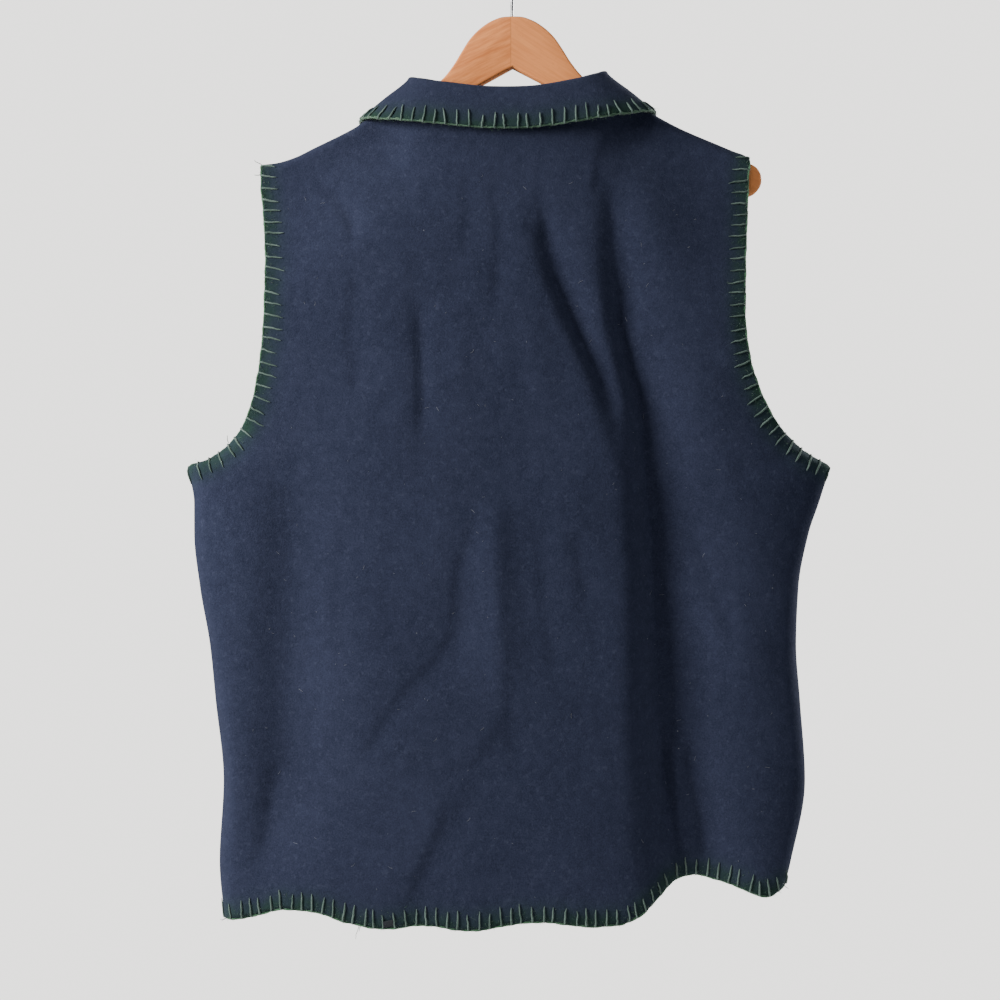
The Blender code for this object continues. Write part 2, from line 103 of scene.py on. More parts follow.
def readHeights(rows):
    return readTable(rows, ["height"])["height"]


def ease(t):
    t = np.clip(t, 0.0, 1.0)
    return t * t * (3 - 2 * t)


def quarterTurn(t):
    return np.sqrt(1 - (1 - np.clip(t, 0.0, 1.0)) ** 2)


# the vest, in the same sizes as its solids
vest = dict(wall=2.4 * mm, seam=0.5 * mm, roll=14 * mm, arch=8 * mm, overHanger=9 * mm,
            settle=130 * mm, bulgeHalf=300 * mm, bulgePower=0.7, underarm=-484.5 * mm,
            openReach=55 * mm, sideSlope=20 * mm, sideDrop=0.42, hemLine=-905 * mm,
            topLine=-204.5 * mm, topBand=20 * mm, hemReach=170 * mm, topReach=175 * mm,
            neckX=4 * mm, neckHalf=108 * mm, neckDepth=30 * mm, neckSquare=2.6,
            neckBack=-168.5 * mm, neckFront=-255 * mm, flare=108 * mm, chest=-450 * mm,
            parting=1.5 * mm, hemParting=4.5 * mm,
            nearby=np.linspace(-20, 20, 25) * mm)

# height, left and right outline, depth at the sides, depth of back and fronts at the
# middle, and how much further in the front armhole is cut
levels = readTable([
    (-905, 266, -243, 13, 43, 36, 0),
    (-850, 270.7, -258, 13, 42, 36, 0),
    (-775, 267, -271.3, 13, 40, 35, 0),
    (-700, 274.5, -266.5, 13, 40, 34, 0),
    (-650, 279.6, -263, 13, 39, 34, 0),
    (-596, 289, -265.2, 12, 38, 33, 0),
    (-546, 294.5, -274.6, 12, 37, 32, 0),
    (-517, 294.6, -284.4, 11, 37, 32, 0),
    (-498, 297.6, -290.6, 11, 37, 32, 0),
    (-490.5, 300.1, -293.6, 11, 37, 32, 0),
    (-484.5, 299.8, -293.8, 11, 37, 32, 0),
    (-479, 284, -285.2, 11, 37, 32, 1),
    (-471.5, 271, -272, 11, 37, 32, 2),
    (-462, 259, -259.8, 11, 37, 32, 3),
    (-447, 246.5, -244.5, 11, 37, 32, 5),
    (-429, 238.2, -232.6, 11, 37, 32, 7),
    (-408, 233.2, -223.4, 11, 37, 32, 9),
    (-383, 229.2, -216.2, 11, 37, 32, 11),
    (-345, 226, -211.9, 11, 37, 32, 12),
    (-300, 225.2, -212.6, 11, 36, 32, 11),
    (-257, 227.8, -215.3, 11, 35, 31, 6),
    (-224.5, 231.2, -217.2, 11, 34, 30, 0),
    (-214.5, 231.5, -217.8, 11, 34, 30, 0),
    (-204.5, 231.8, -219, 11, 34, 30, 0),
], ("left", "right", "side", "back", "front", "inset"))

backHem = readHeights([
    (267, -901.5), (240, -896.2), (205, -887), (181, -888), (150, -897),
    (116, -902.3), (80, -899), (39, -903.2), (-7, -896.5), (-25, -895.2),
    (-75, -900), (-97, -898.4), (-113, -892.9), (-126, -883), (-141, -870.6),
    (-156, -863.3), (-168, -861.3), (-203, -868.3), (-233, -878.3), (-253, -870),
])
frontHem = readHeights([
    (267, -901.5), (215, -891), (150, -896), (90, -892), (0, -896),
    (-60, -895), (-110, -888), (-140, -872), (-168, -865), (-203, -870),
    (-230, -878), (-253, -870),
])
shoulder = readHeights([
    (232, -204.5), (219, -203), (202, -198), (183, -188.8), (146, -170.3),
    (112, -148.5), (-104, -142.3), (-135, -160), (-154.5, -170.3), (-192, -186.4),
    (-206.7, -192.5), (-213.6, -194.8), (-219, -198),
])

# folds that run down the cloth: height, place across, depth (less than nothing stands
# out), width towards +X and towards -X
foldNames = ("x", "depth", "leftWidth", "rightWidth")
mainFold = readTable([
    (-212, -91, 0, 13, 22), (-235, -92, 5, 13, 24), (-290, -95, 9, 13, 28),
    (-345, -99, 12, 13, 34), (-388, -109, 15, 13, 36), (-424, -119, 17, 12, 38),
    (-470, -123, 19, 14, 48), (-533, -128, 22, 16, 58), (-606, -132, 24, 17, 62),
    (-663, -134, 25, 18, 62), (-756, -141, 27, 21, 60), (-840, -156, 29, 28, 52),
    (-905, -168, 32, 30, 46),
], foldNames)
backFolds = [mainFold] + [readTable(rows, foldNames) for rows in (
    [(-420, 200, 0, 30, 30), (-500, 200, 5, 30, 34), (-610, 200, 10, 33, 40),
     (-720, 202, 12, 33, 40), (-800, 212, 10, 30, 36), (-870, 230, 4, 24, 30)],
    [(-235, -16, 0, 10, 24), (-300, -34, 5, 9, 28), (-352, -56, 7, 9, 28),
     (-418, -86, 6, 10, 24), (-500, -110, 0, 12, 20)],
    [(-480, 26, 0, 20, 22), (-545, 38, 1.2, 20, 24), (-635, 50, 1.4, 20, 24),
     (-703, 98, 1, 22, 26), (-770, 156, 0, 26, 26)],
    [(-690, 0, 0, 18, 26), (-735, 6, 2, 20, 32), (-793, 40, 2.2, 16, 40),
     (-853, 72, 2.2, 16, 40), (-905, 86, 3, 18, 40)],
    [(-500, 18, 0, 20, 20), (-575, 14, -4, 20, 20), (-640, 9, -4, 20, 20),
     (-700, 6, 0, 20, 20)],
    [(-262, 84, 0, 12, 20), (-340, 86, 1.2, 12, 20), (-430, 80, 1.2, 12, 20),
     (-500, 78, 0, 12, 20)],
    [(-545, -158, 0, 24, 24), (-595, -172, -4, 24, 24), (-650, -214, -3, 24, 24),
     (-700, -228, 0, 24, 24)],
)]
frontFolds = [readTable(rows, foldNames) for rows in (
    [(-290, 62, 0, 20, 20), (-420, 70, 6, 20, 26), (-600, 82, 9, 22, 28),
     (-780, 96, 12, 24, 30), (-905, 104, 13, 26, 32)],
    [(-450, 206, 0, 24, 24), (-560, 200, 6, 24, 28), (-720, 188, 7, 26, 30),
     (-905, 180, 4, 26, 30)],
    [(-320, -96, 0, 20, 20), (-460, -104, 8, 20, 26), (-640, -112, 12, 22, 28),
     (-800, -122, 14, 24, 30), (-905, -128, 14, 26, 32)],
    [(-520, -196, 0, 22, 24), (-650, -204, 5, 22, 26), (-800, -208, 6, 22, 26),
     (-905, -204, 4, 22, 26)],
)]

# finer creases in any direction: depth (less than nothing stands out), width on the
# left and on the right of the way down, then points as place across and height.
# The left of a trough is a short wall, its right comes up slowly.
backCreases = [
    (2.6, 6, 16, [(-27, -240), (-33, -279), (-37, -306), (-49, -333), (-59, -361),
                  (-71, -388), (-82, -415), (-91, -442)]),
    (1.9, 5, 9, [(-84, -186), (-80, -210), (-75, -240)]),
    (2.2, 6, 14, [(-98, -300), (-100, -350), (-105, -400), (-113, -440)]),
    (1.3, 6, 10, [(-22, -228), (-30, -262), (-29, -290)]),
    (1.8, 5, 9, [(86, -330), (84, -370), (82, -420), (83, -460)]),
    (1.1, 7, 12, [(20, -206), (11, -261), (14, -345)]),
    (0.9, 6, 12, [(46, -208), (40, -250), (44, -300)]),
    (1.1, 6, 16, [(27, -497), (33, -524), (38, -551), (48, -579), (50, -633), (66, -660),
                  (94, -688), (116, -715), (127, -742), (160, -769)]),
    (1.6, 10, 30, [(0, -490), (1, -560), (0, -640), (-3, -720), (-6, -780)]),
    (0.8, 7, 12, [(8, -702), (14, -738), (65, -775)]),
    (-2.8, 42, 60, [(50, -765), (60, -797), (66, -824), (84, -851), (102, -884)]),
    (1.3, 3.5, 34, [(56, -778), (64, -812), (82, -850), (98, -884)]),
    (1.5, 7, 10, [(-117, -370), (-153, -376), (-197, -387)]),
    (1.7, 7, 14, [(-136, -565), (-171, -592), (-196, -628), (-214, -652)]),
    (1.4, 7, 12, [(-165, -540), (-182, -590), (-206, -640)]),
    (2.6, 5, 11, [(184, -196), (181, -216), (168, -234), (150, -254), (142, -286)]),
    (3.4, 7, 12, [(-165, -728), (-167, -769), (-174, -797), (-177, -824), (-181, -856)]),
    (1.6, 6, 10, [(-132, -735), (-138, -770), (-146, -806)]),
    (-2.4, 7, 7, [(-146, -728), (-150, -770), (-156, -820), (-162, -866)]),
    (1.2, 8, 10, [(-57, -540), (-63, -575), (-73, -612)]),
    (1.1, 8, 12, [(-24, -520), (-30, -600), (-42, -690)]),
    (1.5, 10, 10, [(212, -750), (222, -800), (226, -850)]),
    (1.3, 8, 12, [(262, -470), (236, -488), (206, -494)]),
    (1.2, 9, 12, [(-258, -470), (-232, -486), (-196, -490)]),
    (1.0, 8, 14, [(140, -300), (146, -360), (138, -430)]),
    (0.9, 8, 14, [(150, -520), (158, -600), (150, -680)]),
    (-1.2, 14, 14, [(58, -330), (44, -370), (52, -420)]),
    (-1.0, 12, 12, [(30, -290), (36, -340)]),
    (-1.0, 12, 14, [(-12, -330), (-22, -380), (-34, -440)]),
]
frontCreases = [
    (2.2, 8, 12, [(60, -310), (68, -400), (80, -560), (92, -760), (100, -885)]),
    (1.8, 8, 10, [(262, -476), (224, -500), (196, -560), (188, -640)]),
    (1.6, 8, 10, [(150, -640), (128, -700), (132, -800)]),
    (1.4, 9, 9, [(180, -205), (168, -250), (160, -310)]),
    (2.4, 8, 12, [(-98, -340), (-104, -470), (-112, -640), (-122, -860)]),
    (1.8, 8, 10, [(-256, -476), (-226, -500), (-204, -570), (-206, -700)]),
    (1.4, 8, 9, [(-50, -560), (-62, -640), (-56, -740)]),
    (1.4, 9, 9, [(-168, -196), (-160, -250), (-150, -300)]),
]


def creaseDepth(creases, x, z):
    # distance to each crease's line, turned into a soft trough that fades at its ends
    total = np.zeros(np.shape(x))
    for depth, leftWidth, rightWidth, places in creases:
        line = np.array(places, float) * mm
        lengths = np.hypot(*np.diff(line, axis=0).T)
        whole = lengths.sum()
        nearest = np.full(np.shape(x), 1e9)
        side = np.zeros(np.shape(x))
        along = np.zeros(np.shape(x))
        run = 0.0
        for (ax, az), (bx, bz), length in zip(line, line[1:], lengths):
            wayX, wayZ = (bx - ax) / length, (bz - az) / length
            t = np.clip((x - ax) * wayX + (z - az) * wayZ, 0, length)
            dx, dz = x - ax - wayX * t, z - az - wayZ * t
            gap = np.hypot(dx, dz)
            closer = gap < nearest
            nearest = np.where(closer, gap, nearest)
            side = np.where(closer, dx * wayZ - dz * wayX, side)
            along = np.where(closer, (run + t) / whole, along)
            run += length
        width = np.where(side > 0, rightWidth, leftWidth) * mm
        shape = np.exp(-(nearest / width) ** 2)
        if depth > 0:
            shape = np.where(side > 0, shape, 1 - ease(nearest / width / 1.5))
        fade = ease(along / 0.2) * ease((1 - along) / 0.2)
        total += depth * mm * shape * fade
    return total


def foldDepth(folds, x, z):
    total = np.zeros(np.shape(x))
    for fold in folds:
        off = x - fold["x"](z)
        width = np.where(off > 0, fold["leftWidth"](z), fold["rightWidth"](z))
        total += fold["depth"](z) * np.exp(-(off / width) ** 2)
    return total


def softWaves(x, z, seed):
    # slow uneven swelling of the felt
    draw = np.random.default_rng(seed)
    total = np.zeros(np.shape(x))
    for _ in range(9):
        angle = draw.uniform(0, math.pi)
        length = draw.uniform(60, 190) * mm
        turn = draw.uniform(0, 2 * math.pi)
        way = x * math.cos(angle) + z * math.sin(angle)
        total += np.sin(2 * math.pi * way / length + turn) * draw.uniform(0.12, 0.4) * mm
    return total


def neckDepth(x):
    across = np.minimum(np.abs(x - vest["neckX"]) / vest["neckHalf"], 1.0)
    square = vest["neckSquare"]
    return vest["neckDepth"] * (1 - across ** square) ** (1 / square)


def topLine(x, lowest):
    # shoulder seams and, between them, the neck line
    across = (x - vest["neckX"]) / vest["neckHalf"]
    side = shoulder(vest["neckX"] + np.sign(across) * vest["neckHalf"])
    return np.where(np.abs(across) >= 1, shoulder(x),
                    lowest + (side - lowest) * np.minimum(np.abs(across), 1) ** 2)


# what differs between the back and the fronts
backSide = dict(way=1, middle="back", hem=backHem, low=vest["neckBack"],
                folds=backFolds, creases=backCreases, seed=3)
frontSide = dict(way=-1, middle="front", hem=frontHem, low=vest["neckFront"],
                 folds=frontFolds, creases=frontCreases, seed=11)


def clothDepth(side, x, z):
    # distance of the cloth's middle from the side plane at a place and a height
    inset = levels["inset"](z) if side is frontSide else 0.0
    toEdge = np.minimum(levels["left"](z) - inset - x, x - levels["right"](z) - inset)
    across = np.clip(0.5 + (x - vest["neckX"]) / (2 * vest["bulgeHalf"]), 0, 1)
    sides = levels["side"](z)
    full = sides + (levels[side["middle"]](z) - sides) * (
        4 * across * (1 - across)) ** vest["bulgePower"]
    apart = ease((z - vest["underarm"]) / vest["openReach"])
    full *= apart + (1 - apart) * quarterTurn(toEdge / vest["roll"]) * (
        1 - vest["sideDrop"] * np.exp(-np.maximum(toEdge, 0) / vest["sideSlope"]))
    taken = (foldDepth(side["folds"], x, z) + creaseDepth(side["creases"], x, z)
             + softWaves(x, z, side["seed"]))
    full -= taken * ease(toEdge / vest["roll"])
    below = np.maximum(topLine(x, side["low"]) - z, 0.0)
    neck = neckDepth(x)
    # the corners of the neck soften in the cloth below them
    around = np.mean([neckDepth(x + off) for off in vest["nearby"]], axis=0)
    lower = np.mean([topLine(x + off, side["low"]) for off in vest["nearby"]], axis=0) - z
    body = np.hypot(vest["overHanger"], around)
    body = body + (full - body) * ease(lower / vest["settle"])
    return vest["seam"] + neck + (body - neck) * quarterTurn(below / vest["arch"])


def clothPoint(side, x, z, off=0.0):
    # a point on the cloth, moved out from its middle by off
    step = 0.4 * mm
    depth = clothDepth(side, x, z)
    slopeX = (clothDepth(side, x + step, z) - clothDepth(side, x - step, z)) / (2 * step)
    slopeZ = (clothDepth(side, x, z + step) - clothDepth(side, x, z - step)) / (2 * step)
    steep = 6.0
    normal = np.stack([-np.clip(slopeX, -steep, steep), np.ones(np.shape(x)),
                       -np.clip(slopeZ, -steep, steep)], -1)
    normal /= np.linalg.norm(normal, axis=-1, keepdims=True)
    place = np.stack([x, depth, z], -1) + normal * np.expand_dims(off, -1)
    return place * np.array([1, side["way"], 1])


# rows and columns of the panels
cells = dict(roll=8, hemRows=95, armRows=25, bladeRows=55, topRows=12, armLow=-500 * mm,
             armHigh=-452 * mm, left=36, foldLeft=70, foldRight=16, right=22, crowd=1.25,
             frontSide=34, frontNeck=36)


def share(start, end, count, power=1.0):
    t = 1 - (1 - np.arange(count) / count) ** power
    return start + (end - start) * t


topStart = vest["topLine"] - vest["topBand"]
topShare = np.linspace(0, 1, cells["topRows"] + 1)
rowHeights = np.concatenate([
    share(vest["hemLine"], cells["armLow"], cells["hemRows"]),
    share(cells["armLow"], cells["armHigh"], cells["armRows"]),
    share(cells["armHigh"], topStart, cells["bladeRows"]),
    vest["topLine"] - vest["topBand"] * (1 - topShare) ** 2,
])


def trueHeight(side, x, nominal):
    hemShare = 1 - ease((nominal - vest["hemLine"]) / vest["hemReach"])
    start = topStart - vest["topReach"]
    topPart = ease((nominal - start) / vest["topReach"])
    return (nominal + (side["hem"](x) - vest["hemLine"]) * hemShare
            + (topLine(x, side["low"]) - vest["topLine"]) * topPart)


def edgePlace(side, name, nominal):
    x = levels[name](nominal)
    for _ in range(3):
        x = levels[name](trueHeight(side, x, nominal))
    return x


def seamRoll(edge, way):
    t = np.arange(cells["roll"]) / cells["roll"]
    return edge + way * vest["roll"] * (1 - np.cos(math.pi / 2 * t))


def backColumns(nominal):
    left = edgePlace(backSide, "left", nominal)
    right = edgePlace(backSide, "right", nominal)
    neckLeft = vest["neckX"] + vest["neckHalf"]
    drop = (vest["topLine"] - nominal) / (vest["topLine"] - vest["hemLine"])
    neckRight = vest["neckX"] - vest["neckHalf"] - vest["flare"] * drop
    fold = mainFold["x"](nominal)
    return np.concatenate([
        seamRoll(left, -1), share(left - vest["roll"], neckLeft, cells["left"]),
        share(neckLeft, fold, cells["foldLeft"], cells["crowd"]),
        share(fold, neckRight, cells["foldRight"]),
        share(neckRight, right + vest["roll"], cells["right"]), [right + vest["roll"]],
        seamRoll(right, 1)[::-1]])


def frontColumns(nominal, way):
    edge = edgePlace(frontSide, "left" if way > 0 else "right", nominal)
    edge = edge - way * levels["inset"](trueHeight(frontSide, edge, nominal))
    lower = ease((vest["chest"] - nominal) / (vest["chest"] - vest["hemLine"]))
    centre = vest["neckX"] + way * (
        vest["parting"] + (vest["hemParting"] - vest["parting"]) * lower)
    neck = vest["neckX"] + way * vest["neckHalf"]
    return np.concatenate([
        seamRoll(edge, -way), share(edge - way * vest["roll"], neck, cells["frontSide"]),
        share(neck, centre, cells["frontNeck"]), [centre]])


# materials
def fill(slot, value):
    # a link or a plain value
    if isinstance(value, Wire):
        slot.id_data.links.new(value.socket, slot)
    else:
        slot.default_value = value


def fillNamed(node, values):
    for name, value in values.items():
        fill(node.inputs[name.replace("_", " ")], value)


class Wire:
    # a socket that takes part in sums; every operator adds its Math node

    def __init__(self, socket):
        self.socket = socket

    def maths(self, operation, *values):
        made = self.socket.id_data.nodes.new("ShaderNodeMath")
        made.operation = operation
        for slot, value in zip(made.inputs, values):
            fill(slot, value)
        return Wire(made.outputs[0])

    def __add__(self, other):
        return self.maths("ADD", self, other)

    def __radd__(self, other):
        return self.maths("ADD", other, self)

    def __sub__(self, other):
        return self.maths("SUBTRACT", self, other)

    def __rsub__(self, other):
        return self.maths("SUBTRACT", other, self)

    def __mul__(self, other):
        return self.maths("MULTIPLY", self, other)

    def __truediv__(self, other):
        return self.maths("DIVIDE", self, other)

    def clamp(self):
        return self.maths("MINIMUM", self.maths("MAXIMUM", self, 0.0), 1.0)

    def over(self, low, high):
        # 0 below low, 1 above high, straight between them
        return ((self - low) / (high - low)).clamp()


class Finish:
    # one material, and one way of adding nodes to it

    def __init__(self, name, **constants):
        self.material = bpy.data.materials.new(name)
        self.material.use_nodes = True
        self.nodes = self.material.node_tree.nodes
        self.feed(**constants)
        self.place = self.node("TexCoord", output=3)      # in the piece's own metres

    def feed(self, **values):
        fillNamed(self.nodes["Principled BSDF"], values)

    def node(self, kind, settings=None, output=0, **values):
        made = self.nodes.new("ShaderNode" + kind)
        for name, value in (settings or {}).items():
            setattr(made, name, value)
        fillNamed(made, values)
        return Wire(made.outputs[output])

    def mix(self, factor, first, second):
        # two colours, either of them a link or three numbers
        made = self.nodes.new("ShaderNodeMix")
        made.data_type = "RGBA"
        for slot, value in ((0, factor), (6, first), (7, second)):
            fill(made.inputs[slot], (*value, 1) if isinstance(value, tuple) else value)
        return Wire(made.outputs[2])

    def noise(self, scale, detail=2.0, rough=0.5, place=None):
        return self.node("TexNoise", Vector=place or self.place, Scale=scale,
                         Detail=detail, Roughness=rough)

    def bump(self, height, strength, distance):
        return self.node("Bump", Strength=strength, Distance=distance, Height=height)


# colours are linear
woolLook = dict(deep=(0.0150, 0.0190, 0.0400), plain=(0.0330, 0.0390, 0.0740),
                worn=(0.0560, 0.0640, 0.1080), green=(0.0150, 0.0400, 0.0270),
                lint=(0.30, 0.31, 0.34))


def makeWool():
    look = woolLook
    finish = Finish("navy wool", Roughness=0.96, Sheen_Weight=0.08, Sheen_Roughness=0.5,
                    Sheen_Tint=(0.45, 0.52, 0.72, 1), Specular_IOR_Level=0.12)
    cloud = finish.noise(9.0, 3.0)
    mottle = finish.noise(95.0, 4.0, 0.6)
    nap = finish.noise(720.0, 3.0, 0.65)
    shade = (cloud * 0.20 + mottle * 0.32 + nap * 0.62).over(0.42, 0.74)
    colour = finish.mix(shade, look["deep"], look["plain"])
    pale = finish.noise(240.0, 2.0, 0.7).over(0.56, 0.78)
    colour = finish.mix(pale * 0.45, colour, look["worn"])
    # the stitch pulls green fibres into the felt along the edges
    rim = finish.node("Attribute", {"attribute_name": "rim"}, 2)
    patch = finish.noise(60.0, 3.0, 0.6).over(0.30, 0.72)
    colour = finish.mix((rim * (0.35 + patch * 0.75)).clamp(), colour, look["green"])
    speck = finish.node("TexVoronoi", Vector=finish.place, Scale=46.0)
    rare = finish.noise(21.0, 1.0).over(0.54, 0.60)
    dot = (1 - speck.over(0.018, 0.040)) * rare
    colour = finish.mix(dot * 0.55, colour, look["lint"])
    height = nap * 0.5 + mottle * 0.9 + finish.noise(1500.0, 2.0) * 0.25
    finish.feed(Base_Color=colour, Normal=finish.bump(height, 0.62, 1.1 * mm))
    return finish.material


# dark and light colour of each yarn
yarnLooks = {
    "stitch yarn": ((0.040, 0.076, 0.058), (0.130, 0.190, 0.165)),
    "edge yarn": ((0.022, 0.078, 0.036), (0.090, 0.205, 0.112)),
    "collar edge yarn": ((0.030, 0.085, 0.048), (0.120, 0.205, 0.135)),
    "green fuzz": ((0.020, 0.060, 0.032), (0.080, 0.160, 0.095)),
    "pale lint": ((0.07, 0.08, 0.11), (0.22, 0.23, 0.27)),
    "seam thread": ((0.010, 0.012, 0.022), (0.034, 0.040, 0.070)),
}


def makeYarn(name, dark, light):
    finish = Finish(name, Roughness=0.9, Sheen_Weight=0.3, Sheen_Roughness=0.5,
                    Specular_IOR_Level=0.2)
    tone = finish.noise(70.0, 3.0).over(0.34, 0.66)
    ply = finish.noise(900.0, 2.0)
    colour = finish.mix((tone * 0.7 + ply * 0.4).clamp(), dark, light)
    finish.feed(Base_Color=colour, Normal=finish.bump(ply, 0.6, 0.4 * mm))
    return finish.material


# slope of the grain in degrees and its fineness, on the right and on the left half
woodLook = dict(light=(0.980, 0.360, 0.115), dark=(0.700, 0.215, 0.062),
                joint=(0.300, 0.100, 0.035), jointX=1.2 * mm,
                grain=((-32, 1.0), (26, 0.6)))


def makeWoodLook():
    look = woodLook
    finish = Finish("lacquered beech", Coat_Roughness=0.25, Specular_IOR_Level=0.4)
    x = finish.node("SeparateXYZ", Vector=finish.place)
    leftHalf = x.over(look["jointX"] - 0.2 * mm, look["jointX"] + 0.2 * mm)
    # the grain follows each half's own slope
    grains = []
    for slope, fineness in look["grain"]:
        turned = finish.node("Mapping", {"vector_type": "TEXTURE"}, Vector=finish.place,
                             Rotation=(0, math.radians(slope), 0),
                             Scale=(1 / 9, 1 / 60, 1 / (150 * fineness)))
        grains.append(finish.noise(3.0, 4.0, 0.6, turned))
    grain = grains[0] * (1 - leftHalf) + grains[1] * leftHalf
    streak = grain.over(0.36, 0.66)
    colour = finish.mix(streak, look["dark"], look["light"])
    calm = finish.mix(0.55, colour, look["light"])
    colour = finish.mix(leftHalf, calm, colour)
    fleck = finish.noise(420.0, 2.0).over(0.60, 0.74)
    colour = finish.mix(fleck * 0.25, colour, look["dark"])
    away = x - look["jointX"]
    joint = 1 - away.maths("ABSOLUTE", away).over(0.2 * mm, 0.7 * mm)
    colour = finish.mix(joint * 0.25, colour, look["joint"])
    finish.feed(Base_Color=colour, Roughness=0.36 + grain * 0.16,
                Normal=finish.bump(grain, 0.15, 0.3 * mm))
    return finish.material


steelLook = dict(dark=(0.50, 0.50, 0.52), light=(0.66, 0.66, 0.67))


def makeSteel():
    finish = Finish("polished wire", Metallic=1.0)
    streak = finish.noise(300.0, 3.0)
    finish.feed(Base_Color=finish.mix(streak, steelLook["dark"], steelLook["light"]),
                Roughness=0.22 + streak * 0.2)
    return finish.material


tapeLook = dict(dark=(0.004, 0.005, 0.009), light=(0.028, 0.034, 0.050), threads=420.0)


def makeTape():
    finish = Finish("woven tape", Roughness=0.85)
    weave, cross = [
        finish.node("TexWave", {"wave_type": "BANDS", "bands_direction": way}, 1,
                    Vector=finish.place, Scale=tapeLook["threads"], Distortion=1.0)
        for way in ("X", "Z")]
    thread = weave * cross
    finish.feed(Base_Color=finish.mix(thread, tapeLook["dark"], tapeLook["light"]),
                Normal=finish.bump(thread, 0.5, 0.2 * mm))
    return finish.material


wool = makeWool()
yarns = {name: makeYarn(name, *look) for name, look in yarnLooks.items()}
print("materials made")


# making objects
def addPiece(name, mesh, material, node=None):
    piece = addObject(name, mesh)
    mesh.materials.clear()
    mesh.materials.append(material)
    mesh.shade_smooth()
    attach(piece, "root")
    if node:
        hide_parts(node)
    return piece


def makeMesh(shape, name):
    mesh = bpy.data.meshes.new(name)
    shape.to_mesh(mesh)
    shape.free()
    return mesh


def addCloth(name, places, rim, node, material=wool, wall=vest["wall"]):
    # a grid moved onto the surface, then given the cloth's thickness
    rows, columns = places.shape[0] - 1, places.shape[1] - 1
    grid = bmesh.new()
    bmesh.ops.create_grid(grid, x_segments=columns, y_segments=rows, size=0.5)
    mark = grid.verts.layers.float.new("rim")
    for point in grid.verts:
        column = round((point.co.x + 0.5) * columns)
        row = round((point.co.y + 0.5) * rows)
        point.co = places[row, column]
        point[mark] = rim[row, column]
    piece = addPiece(name, makeMesh(grid, name), material, node)
    thick = piece.modifiers.new("cloth", "SOLIDIFY")
    thick.thickness = wall
    thick.offset = 0
    return piece


def addStrands(name, strands, thickness, material, sides=0):
    # each strand is its points and their radii, as shares of the thickness
    line = bpy.data.curves.new(name, "CURVE")
    line.dimensions = "3D"
    line.bevel_depth = thickness / 2
    line.bevel_resolution = sides
    line.use_fill_caps = True
    for points, radii in strands:
        spline = line.splines.new("POLY")
        spline.points.add(len(points) - 1)
        flat = np.concatenate([points, np.ones((len(points), 1))], 1)
        spline.points.foreach_set("co", flat.ravel())
        spline.points.foreach_set("radius", np.asarray(radii, float))
    rope = addObject(name + "Line", line)
    seen = rope.evaluated_get(bpy.context.evaluated_depsgraph_get())
    mesh = bpy.data.meshes.new_from_object(seen)
    bpy.data.objects.remove(rope)
    bpy.data.curves.remove(line)
    return addPiece(name, mesh, material, None)


def addSewing(name, legs, ropes, hairs, ropeYarn):
    print(name, "sewn:", len(legs), "stitches")
    return [addStrands(name + "Stitches", legs, stitch["yarn"], yarns["stitch yarn"], 1),
            addStrands(name + "Edge", ropes, stitch["edge"], yarns[ropeYarn], 1),
            addStrands(name + "Fuzz", hairs, stitch["hair"], yarns["green fuzz"])]


# edges that are stitched
def runAlong(line):
    # distance along a line at each of its points
    return np.concatenate([[0], np.cumsum(np.linalg.norm(np.diff(line, axis=0), axis=1))])


def readAt(values, run, at):
    return np.stack([np.interp(at, run, column) for column in values.T], 1)


def evenly(line, step):
    # the line again, with its points at even steps
    run = runAlong(line)
    count = max(int(round(run[-1] / step)), 2)
    return readAt(line, run, np.linspace(0, run[-1], count + 1))


def edgeWays(places, inside):
    # along an edge, and square to it into the cloth
    ways = np.gradient(places, axis=0)
    ways /= np.linalg.norm(ways, axis=1, keepdims=True)
    inward = np.stack([-ways[:, 1], ways[:, 0]], 1)
    inward *= np.sign((inward * (np.array(inside) - places)).sum())
    return ways, inward


armhole = dict(bend=14.5 * mm, bendPoints=90, sidePoints=300, belowTip=1.5 * mm)


def armholeLine(side, name):
    # from the underarm, in finer steps where it bends, up to just below the shoulder
    way = 1 if name == "left" else -1
    tip = shoulder(levels[name](vest["topLine"])) - armhole["belowTip"]
    bend = vest["underarm"] + armhole["bend"]
    z = np.concatenate([np.linspace(vest["underarm"], bend, armhole["bendPoints"]),
                        np.linspace(bend + 0.5 * mm, tip, armhole["sidePoints"])])
    inset = levels["inset"](z) if side is frontSide else 0.0
    return np.stack([levels[name](z) - way * inset, z], 1)


def hemEdge(side, fromX, toX):
    x = np.linspace(fromX, toX, 300)
    return np.stack([x, side["hem"](x)], 1)


def centreLine(way):
    x = np.array([frontColumns(nominal, way)[-1] for nominal in rowHeights])
    return np.stack([x, trueHeight(frontSide, x, rowHeights)], 1)


def corner(side, name):
    return edgePlace(side, name, vest["hemLine"])


def frontEdges(name, way):
    centre = centreLine(way)
    return [armholeLine(frontSide, name),
            hemEdge(frontSide, corner(frontSide, name), centre[0, 0]), centre]


# side of the vest, a place inside the panel, and its stitched edges
edges = {
    "back": (backSide, (0.0, -0.6), [
        armholeLine(backSide, "left"), armholeLine(backSide, "right"),
        hemEdge(backSide, corner(backSide, "left"), corner(backSide, "right"))]),
    "frontLeft": (frontSide, (0.15, -0.6), frontEdges("left", 1)),
    "frontRight": (frontSide, (-0.15, -0.6), frontEdges("right", -1)),
}

